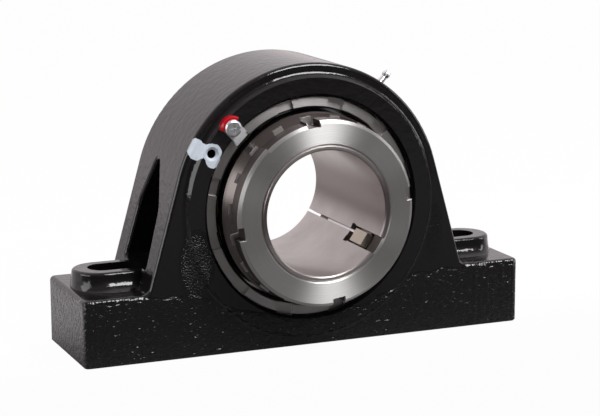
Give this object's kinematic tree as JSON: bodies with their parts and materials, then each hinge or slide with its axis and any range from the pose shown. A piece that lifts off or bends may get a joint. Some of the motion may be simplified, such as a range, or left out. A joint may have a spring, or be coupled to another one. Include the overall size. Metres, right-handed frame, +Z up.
{
  "type": "two-bolt pillow block bearing",
  "caption": "One-piece cast pillow block with slotted foot, holding a self-aligning roller bearing that a split tapered sleeve and locknut clamp to a round shaft.",
  "frame": {"origin": "middle of the flat mounting face under the foot, below the shaft centre", "axes": "+X along the foot, -Y out of the locknut end along the shaft, +Z up from the mounting face"},
  "size_m": [0.338, 0.1251, 0.2042],
  "materials": {
    "black_paint": "gloss black paint over rough casting",
    "cover_steel": "turned, lightly oiled",
    "tab_steel": "brushed sheet",
    "zinc_steel": "bright zinc",
    "red_lacquer": "glossy red sealing lacquer",
    "black_rubber": "matt",
    "bearing_steel": "ground",
    "cage_brass": "machined",
    "ring_iron": "machined",
    "sleeve_steel": "turned bore",
    "key_steel": "plain",
    "collar_steel": "ground",
    "washer_steel": "pressed sheet",
    "nut_steel": "turned face"
  },
  "bodies": {
    "root": {"housing": "black_paint", "cover": "cover_steel", "cover_oring": "black_rubber", "front_seal": "black_rubber", "rear_seal": "black_rubber", "lock_tab": "tab_steel", "tab_washer": "tab_steel", "lock_screw": "zinc_steel", "screw_lacquer": "red_lacquer", "outer_ring": "bearing_steel", "grease_fitting": "zinc_steel"},
    "swivel": {"guide_ring": "ring_iron"},
    "rotor": {"inner_ring": "bearing_steel", "adapter_sleeve": "sleeve_steel", "sleeve_key": "key_steel", "locknut": "nut_steel", "lockwasher": "washer_steel", "front_collar": "collar_steel", "rear_collar": "collar_steel"},
    "roller_set": {"front_rollers": "bearing_steel", "rear_rollers": "bearing_steel", "front_cage": "cage_brass", "rear_cage": "cage_brass"},
    "ball": {"grease_ball": "bearing_steel"}
  },
  "joints": [
    {"name": "insert_tilt", "type": "hinge", "parent": "root", "child": "swivel", "pos_m": [0, 0, 0.1016], "axis": [1, 0, 0], "range_deg": [-1.5, 1.5]},
    {"name": "shaft_spin", "type": "hinge", "parent": "swivel", "child": "rotor", "pos_m": [0, 0, 0.1016], "axis": [0, 1, 0], "continuous": true},
    {"name": "roller_orbit", "type": "hinge", "parent": "swivel", "child": "roller_set", "pos_m": [0, 0, 0.1016], "axis": [0, 1, 0], "continuous": true},
    {"name": "ball_press", "type": "slide", "parent": "root", "child": "ball", "axis": [-0.6845, 0, -0.729], "range_m": [0, 0.001], "stiffness_N_per_m": 200, "springref_m": -0.0005}
  ],
  "couplings": [
    {"joint": "roller_orbit", "follows": "shaft_spin", "ratio": 0.4478}
  ]
}
